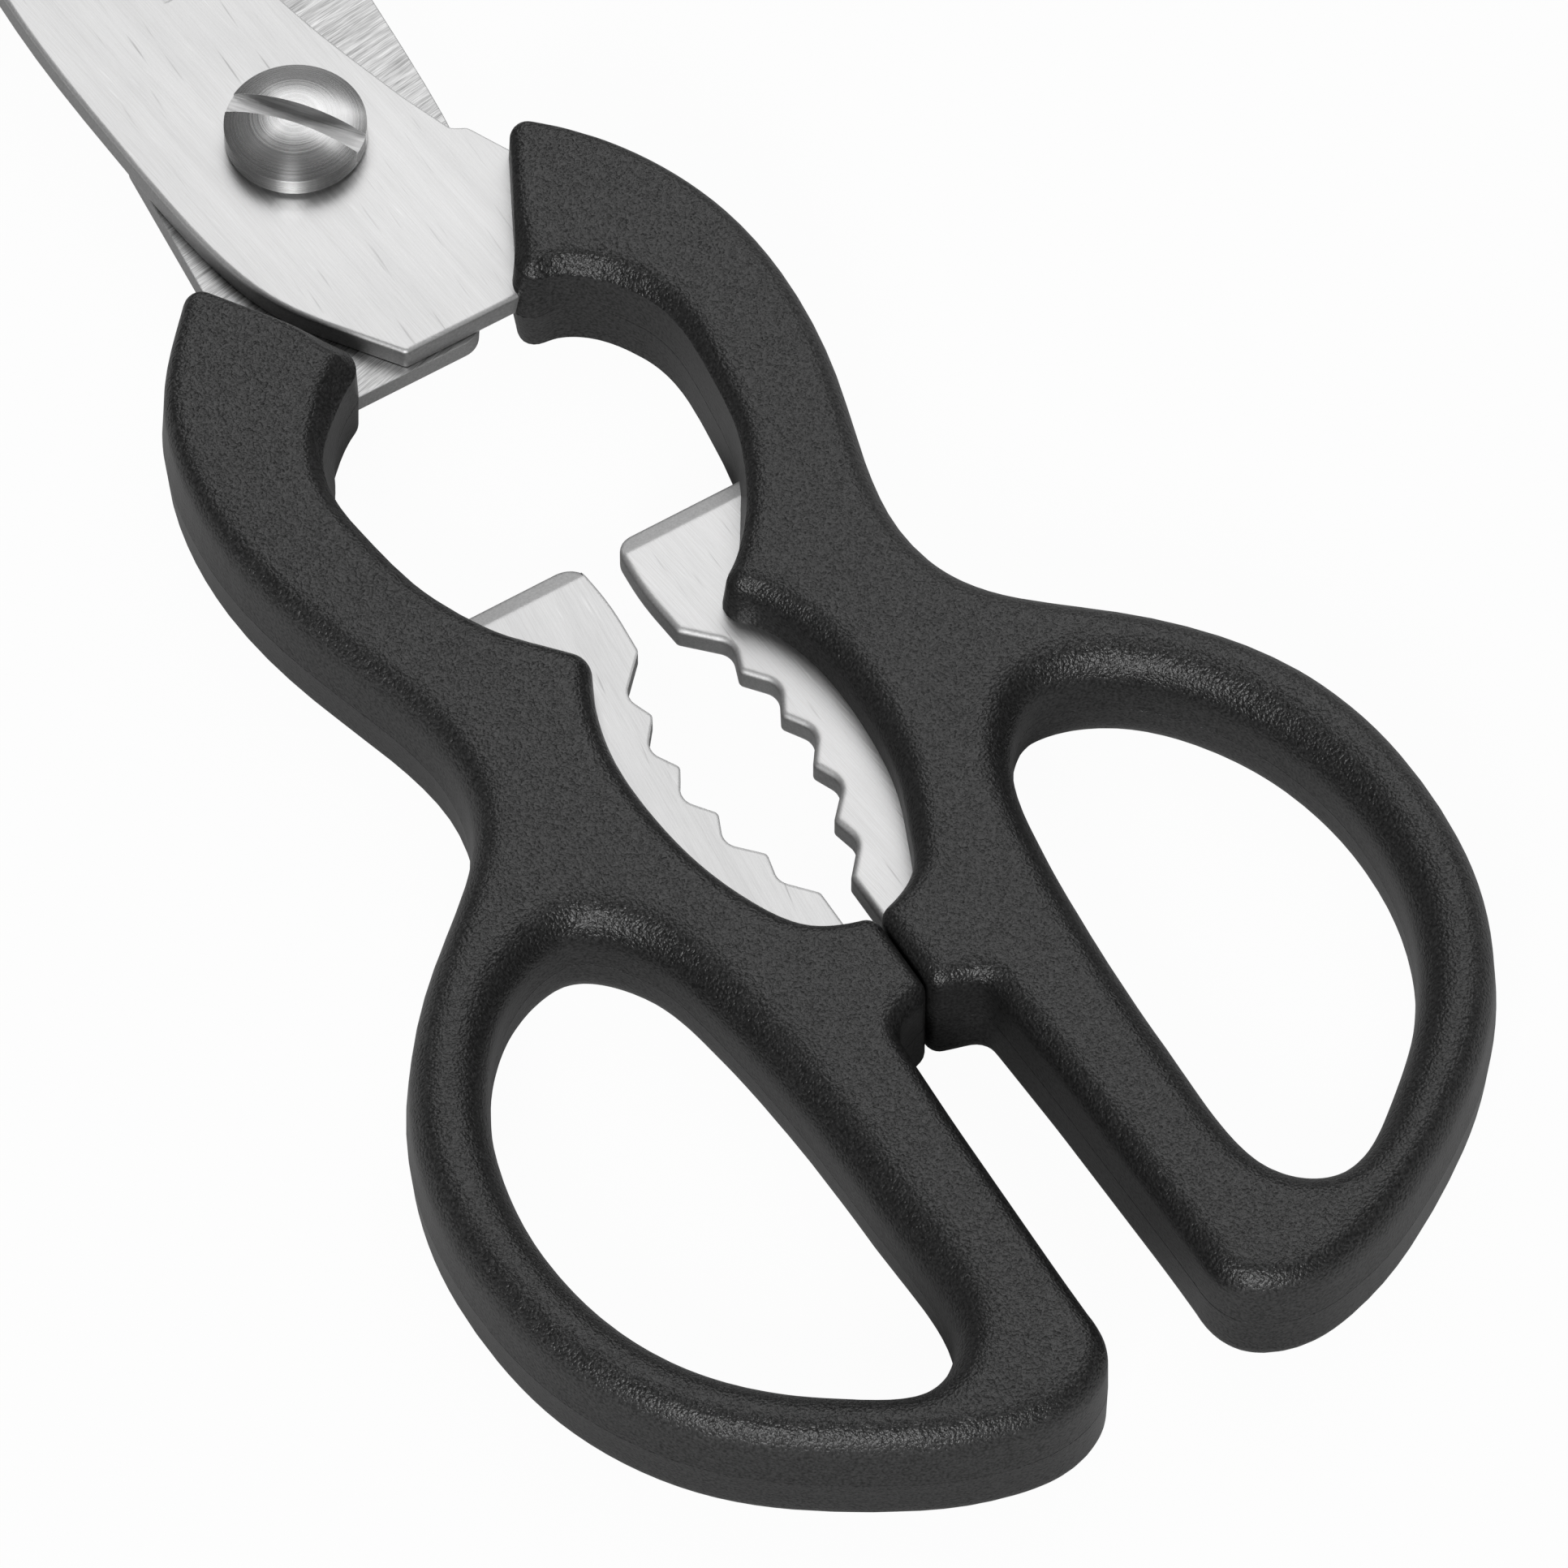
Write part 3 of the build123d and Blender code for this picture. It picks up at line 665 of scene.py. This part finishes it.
def loop_area(loop):
    x, y = loop[:, 0], loop[:, 1]
    return 0.5 * float(np.sum(x * np.roll(y, -1) - y * np.roll(x, -1)))


def resample(loop, step):
    """Points at even steps along a closed loop, which runs anticlockwise."""
    if loop_area(loop) < 0:
        loop = loop[::-1]
    closed = np.vstack([loop, loop[:1]])
    length = np.hypot(*np.diff(closed, axis=0).T)
    closed = closed[np.append(length > LEAST_STRETCH, True)]
    length = np.hypot(*np.diff(closed, axis=0).T)
    travel = np.concatenate([[0], np.cumsum(length)])
    count = int(round(travel[-1] / step))
    at = np.arange(count) * travel[-1] / count
    return np.stack([np.interp(at, travel, closed[:, k]) for k in (0, 1)], axis=1)


def inward_normals(loop):
    """Unit normals to the left of a loop's direction, smoothed a little."""
    tangent = np.roll(loop, -NORMAL_STEPS, axis=0) - np.roll(loop, NORMAL_STEPS, axis=0)
    tangent /= np.hypot(*tangent.T)[:, None]
    return np.stack([-tangent[:, 1], tangent[:, 0]], axis=1)


def distance_to(loop, points):
    """The distance from each point to a closed loop, and the nearest point's place along it."""
    count = len(loop)
    tree = kdtree.KDTree(count)
    for i, p in enumerate(loop):
        tree.insert((p[0], p[1], 0), i)
    tree.balance()
    distance = np.empty(len(points))
    nearest = np.empty(len(points), int)
    for k, p in enumerate(points):
        _, i, _ = tree.find((p[0], p[1], 0))
        distance[k] = min(distance_to_stretch(loop[i - 1], loop[i], p),
                          distance_to_stretch(loop[i], loop[(i + 1) % count], p))
        nearest[k] = i
    return distance, nearest


def distance_to_stretch(start, end, point):
    stretch = end - start
    share = min(1, max(0, float(np.dot(point - start, stretch) / np.dot(stretch, stretch))))
    return math.hypot(*(start + stretch * share - point))


def soft_min(a, b, width):
    """The lower of two heights, with a soft change from one to the other."""
    share = np.clip(0.5 + 0.5 * (b - a) / width, 0, 1)
    return b * (1 - share) + a * share - width * share * (1 - share)


def along_outline(loop, side, places):
    """Values given at some places of an outline, spread over all its points and smoothed."""
    count = len(loop)
    known = []
    for x, y, *values in places:
        known.append((int(np.argmin(gap_to(loop, side, x, y))), values))
    known.sort()
    at = [known[-1][0] - count] + [item[0] for item in known] + [known[0][0] + count]
    rows = np.array([known[-1][1]] + [item[1] for item in known] + [known[0][1]], float)
    spread = [np.interp(np.arange(count), at, column) for column in rows.T]
    window = range(-BLUR_STEPS, BLUR_STEPS + 1)
    return [sum(np.roll(values, k) for k in window) / len(window) for values in spread]


def gap_to(loop, side, x, y):
    """The distance from each point of a loop to a place given in mm for the right handle."""
    return np.hypot(loop[:, 0] - side * x * MM, loop[:, 1] - y * MM)


def nearness(loop, side, x, y, reach):
    """One at a place, falling off to nothing over its reach in mm."""
    return np.exp(-(gap_to(loop, side, x, y) / (reach * MM)) ** 2)


def edge_values(loop, side):
    """What EDGE_PLACES and SIDE_PLACES give at each point of an outline, in metres."""
    top, slope, bottom, swell, shift, bevel = along_outline(loop, side, EDGE_PLACES)
    for place_side, x, y, reach, more_shift, more_swell, more_bevel in SIDE_PLACES:
        if place_side == side:
            share = nearness(loop, side, x, y, reach)
            shift = shift + more_shift * share
            swell = swell + more_swell * share
            bevel = bevel + more_bevel * share
    bevel = bevel * np.clip((1 - slope) * BEVEL_FADE, 0, 1)
    return top * MM, slope, bottom * MM, swell * MM, shift * MM, bevel * MM


def hole_shift(loop, side):
    """How much nearer to the hole's middle each point of its edge stands."""
    shift = along_outline(loop, side, HOLE_PLACES)[0]
    for place_side, x, y, reach, more_shift in HOLE_SIDE_PLACES:
        if place_side == side:
            shift = shift + more_shift * nearness(loop, side, x, y, reach)
    return shift * MM


def edge_drop(distance, radius, slope):
    """How far a rounded edge lies below the face, at a distance from its bevel or wall."""
    inside = np.clip(radius * slope - distance, 0, radius)
    return radius - np.sqrt(radius ** 2 - inside ** 2)


# A closed edge of a handle: its points, the directions from them into the plastic, whether it is
# the outer edge, and at each point the radii of its top and bottom roundings, the sine of their
# steepest slope, the width of the bevel outside them and the swell of the wall
Edge = namedtuple("Edge", "loop inward outside top bottom slope bevel swell")


def outer_edge(outline, side):
    """The outer edge of a handle, from the outline of its solid."""
    shift = edge_values(outline, side)[4]
    loop = outline - inward_normals(outline) * shift[:, None]
    top, slope, bottom, swell, _, bevel = edge_values(loop, side)
    return Edge(loop, inward_normals(loop), True, top, bottom, slope, bevel, swell)


def hole_edge(outline, side):
    """The edge of the finger hole, from the hole's outline in the solid."""
    loop = outline + inward_normals(outline) * hole_shift(outline, side)[:, None]
    whole = np.ones(len(loop))
    radius = HOLE_RADIUS * whole
    return Edge(loop, -inward_normals(loop), False, radius, radius, whole, 0 * whole, HOLE_SWELL * whole)


class MouldedMesh:
    """Collects the points and faces of a handle."""

    def __init__(self, bottom, top):
        self.points = []
        self.faces = []
        self.bottom = bottom
        self.top = top

    def row(self, places, heights):
        """Adds a row of points and returns their numbers."""
        first = len(self.points)
        self.points += [(p[0], p[1], z) for p, z in zip(places, heights)]
        return list(range(first, len(self.points)))

    def band(self, upper, lower, outside):
        """Joins two rows by four-sided faces that look away from the plastic."""
        for i, j in ring(0, len(upper)):
            quad = (upper[i], lower[i], lower[j], upper[j])
            self.faces.append(quad if outside else quad[::-1])


def ring(first, count):
    """The pairs of neighbours among the points of a closed row."""
    return [(first + i, first + (i + 1) % count) for i in range(count)]


def rounding_rows(edge, radius):
    """The steep part of a rounding, from its inner side to the wall: places and drops from the face."""
    steepest = np.arcsin(np.clip(edge.slope, 0, 1))
    fall = edge.bevel * np.minimum(np.tan(steepest), MOST_BEVEL_FALL)
    gentlest = math.radians(STRIP_SLOPE)
    rows = []
    for share in np.linspace(0, 1, STRIP_ROWS):
        tilt = gentlest + (steepest - gentlest) * share
        depth = radius * (edge.slope - np.sin(tilt)) + edge.bevel * (1 - share)
        drop = radius * (1 - np.cos(tilt)) + fall * share
        rows.append((edge.loop + edge.inward * depth[:, None], drop))
    return rows


def add_wall(shape, edge):
    """The wall of an edge with the steep part of both its roundings.

    It returns the places of the innermost row and its points' numbers at the top and the bottom."""
    middle = (shape.top + shape.bottom) / 2
    upper = rounding_rows(edge, edge.top)
    lower = rounding_rows(edge, edge.bottom)
    rows = [(places, shape.top - drop) for places, drop in upper]
    reach = shape.top - middle - upper[-1][1]
    for share, swell_share in WALL_ROWS:
        rows.append((edge.loop - edge.inward * (edge.swell * swell_share)[:, None], middle + reach * share))
    seam = edge.loop - edge.inward * (edge.swell - SEAM_DEPTH)[:, None]
    rows.append((seam, np.full(len(seam), middle)))
    reach = middle - shape.bottom - lower[-1][1]
    for share, swell_share in reversed(WALL_ROWS):
        rows.append((edge.loop - edge.inward * (edge.swell * swell_share)[:, None], middle - reach * share))
    rows += [(places, shape.bottom + drop) for places, drop in reversed(lower)]
    numbers = [shape.row(places, heights) for places, heights in rows]
    for above, below in zip(numbers, numbers[1:]):
        shape.band(above, below, edge.outside)
    return upper[0][0], numbers[0], numbers[-1]


def contains(loop, points):
    """Which points lie inside a closed loop."""
    x, y = points[:, 0], points[:, 1]
    inside = np.zeros(len(points), bool)
    for (x1, y1), (x2, y2) in zip(loop, np.roll(loop, -1, axis=0)):
        if y1 != y2:
            crossed = (y1 > y) != (y2 > y)
            inside ^= crossed & (x < x1 + (y - y1) * (x2 - x1) / (y2 - y1))
    return inside


def between(points, rim, eye):
    """Which points lie on the face, inside its rim and outside the finger hole."""
    return contains(rim, points) & ~contains(eye, points)


def thin_out(points, gap):
    """Points with those nearer than a gap to an earlier one left out."""
    cells = {}
    kept = []
    for p in points:
        column, row = math.floor(p[0] / gap), math.floor(p[1] / gap)
        around = [q for i in (-1, 0, 1) for j in (-1, 0, 1) for q in cells.get((column + i, row + j), ())]
        if all(math.hypot(p[0] - q[0], p[1] - q[1]) >= gap for q in around):
            cells.setdefault((column, row), []).append(p)
            kept.append(p)
    return np.array(kept)


def face_points(outer, hole, rim, eye):
    """The points of the face inside its borders: rows along both roundings and an even grid."""
    points = []
    for degrees in CREST_SLOPES:
        sine = math.sin(math.radians(degrees))
        points.append(outer.loop + outer.inward * (outer.top * (outer.slope - sine) + outer.bevel)[:, None])
        points.append(hole.loop + hole.inward * HOLE_RADIUS * (1 - sine))
    low, high = outer.loop.min(axis=0), outer.loop.max(axis=0)
    grid_x, grid_y = np.meshgrid(np.arange(low[0], high[0], GRID_STEP), np.arange(low[1], high[1], GRID_STEP))
    points.append(np.stack([grid_x.ravel(), grid_y.ravel()], axis=1))
    points = np.vstack(points)
    points = points[between(points, rim, eye)]
    from_rim, _ = distance_to(rim, points)
    from_eye, _ = distance_to(eye, points)
    return thin_out(points[(from_rim > LEAST_GAP) & (from_eye > LEAST_GAP)], LEAST_GAP)


def face_heights(outer, hole, places):
    """How high the face and the underside stand at some places, from their highest level."""
    from_outer, nearest = distance_to(outer.loop, places)
    from_hole, _ = distance_to(hole.loop, places)
    from_bevel = from_outer - outer.bevel[nearest]
    hole_height = -edge_drop(from_hole, HOLE_RADIUS, 1.0)
    heights = []
    for radius in (outer.top, outer.bottom):
        outer_height = -edge_drop(from_bevel, radius[nearest], outer.slope[nearest])
        heights.append(np.minimum(soft_min(outer_height, hole_height, RIDGE_WIDTH), 0))
    return heights


def orient(face, places):
    """The face with its points anticlockwise."""
    a, b, c = (places[i] for i in face[:3])
    turn = (b[0] - a[0]) * (c[1] - a[1]) - (b[1] - a[1]) * (c[0] - a[0])
    return face if turn > 0 else tuple(reversed(face))


def add_surface(shape, outer, hole):
    """The walls of both edges, and the face and the underside between them."""
    rim, rim_top, rim_bottom = add_wall(shape, outer)
    eye, eye_top, eye_bottom = add_wall(shape, hole)
    border_top = rim_top + eye_top
    border_bottom = rim_bottom + eye_bottom
    borders = ring(0, len(rim)) + ring(len(rim), len(eye))
    flat = np.vstack([rim, eye, face_points(outer, hole, rim, eye)])
    scaled = [Vector((p[0] / MM, p[1] / MM)) for p in flat]
    found, _, triangles, origin, _, _ = delaunay_2d_cdt(scaled, borders, [], 0, JOINING_GAP_MM)
    places = np.array([(v[0] * MM, v[1] * MM) for v in found])

    numbers = []
    for place, face, underside, sources in zip(places, *face_heights(outer, hole, places), origin):
        known = [k for k in sources if k < len(border_top)]
        if known:
            numbers.append((border_top[known[0]], border_bottom[known[0]]))
        else:
            numbers.append(shape.row([place, place], [shape.top + face, shape.bottom - underside]))
    centers = np.array([places[list(triangle)].mean(axis=0) for triangle in triangles])
    for triangle, inside in zip(triangles, between(centers, rim, eye)):
        if inside:
            turned = orient(triangle, places)
            shape.faces.append(tuple(numbers[i][0] for i in turned))
            shape.faces.append(tuple(numbers[i][1] for i in reversed(turned)))


def make_handle(node, side, body):
    """A handle with the soft roundings of the real moulding, on the outline of its CAD node."""
    low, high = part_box(node)
    shape = MouldedMesh(low.z, high.z)
    loops = slice_loops(nodes[node].data, SLICE_HEIGHT)
    loops = [loop for loop in loops if abs(loop_area(loop)) > LEAST_AREA]
    loops.sort(key=lambda loop: -abs(loop_area(loop)))
    outer = outer_edge(resample(loops[0], STEP), side)
    hole = hole_edge(resample(loops[1], STEP), side)
    add_surface(shape, outer, hole)

    mesh = bpy.data.meshes.new(node + "_moulded")
    mesh.from_pydata(shape.points, [], shape.faces)
    mesh.validate()
    mesh.polygons.foreach_set("use_smooth", [True] * len(mesh.polygons))
    mesh.update()
    obj = bpy.data.objects.new(node + "_moulded", mesh)
    bpy.context.scene.collection.objects.link(obj)
    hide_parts(node)
    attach(obj, body)
    return obj


# Assembly
bpy.context.scene.view_settings.view_transform = "Standard"
make_camera()
make_world()
make_floor()
make_lamp("back_panel", **BACK_PANEL)
make_lamp("front_panel", **FRONT_PANEL)

plastic_material = plastic()
for name, side, body in (("right_handle", 1, "upper_half"), ("left_handle", -1, "lower_half")):
    paint(make_handle(name, side, body), plastic_material)

for name, look in BRUSHED_SHEETS.items():
    paint(nodes[name], brushed(name + "_steel", **look))
screw_low, screw_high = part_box("pivot_screw")
turned = turned_steel("screw_turned_steel", (screw_low.y + screw_high.y) / 2)
for name in ("pivot_screw", "pivot_nut"):
    paint(nodes[name], turned)
paint(nodes["head_washer"], rolled_steel())
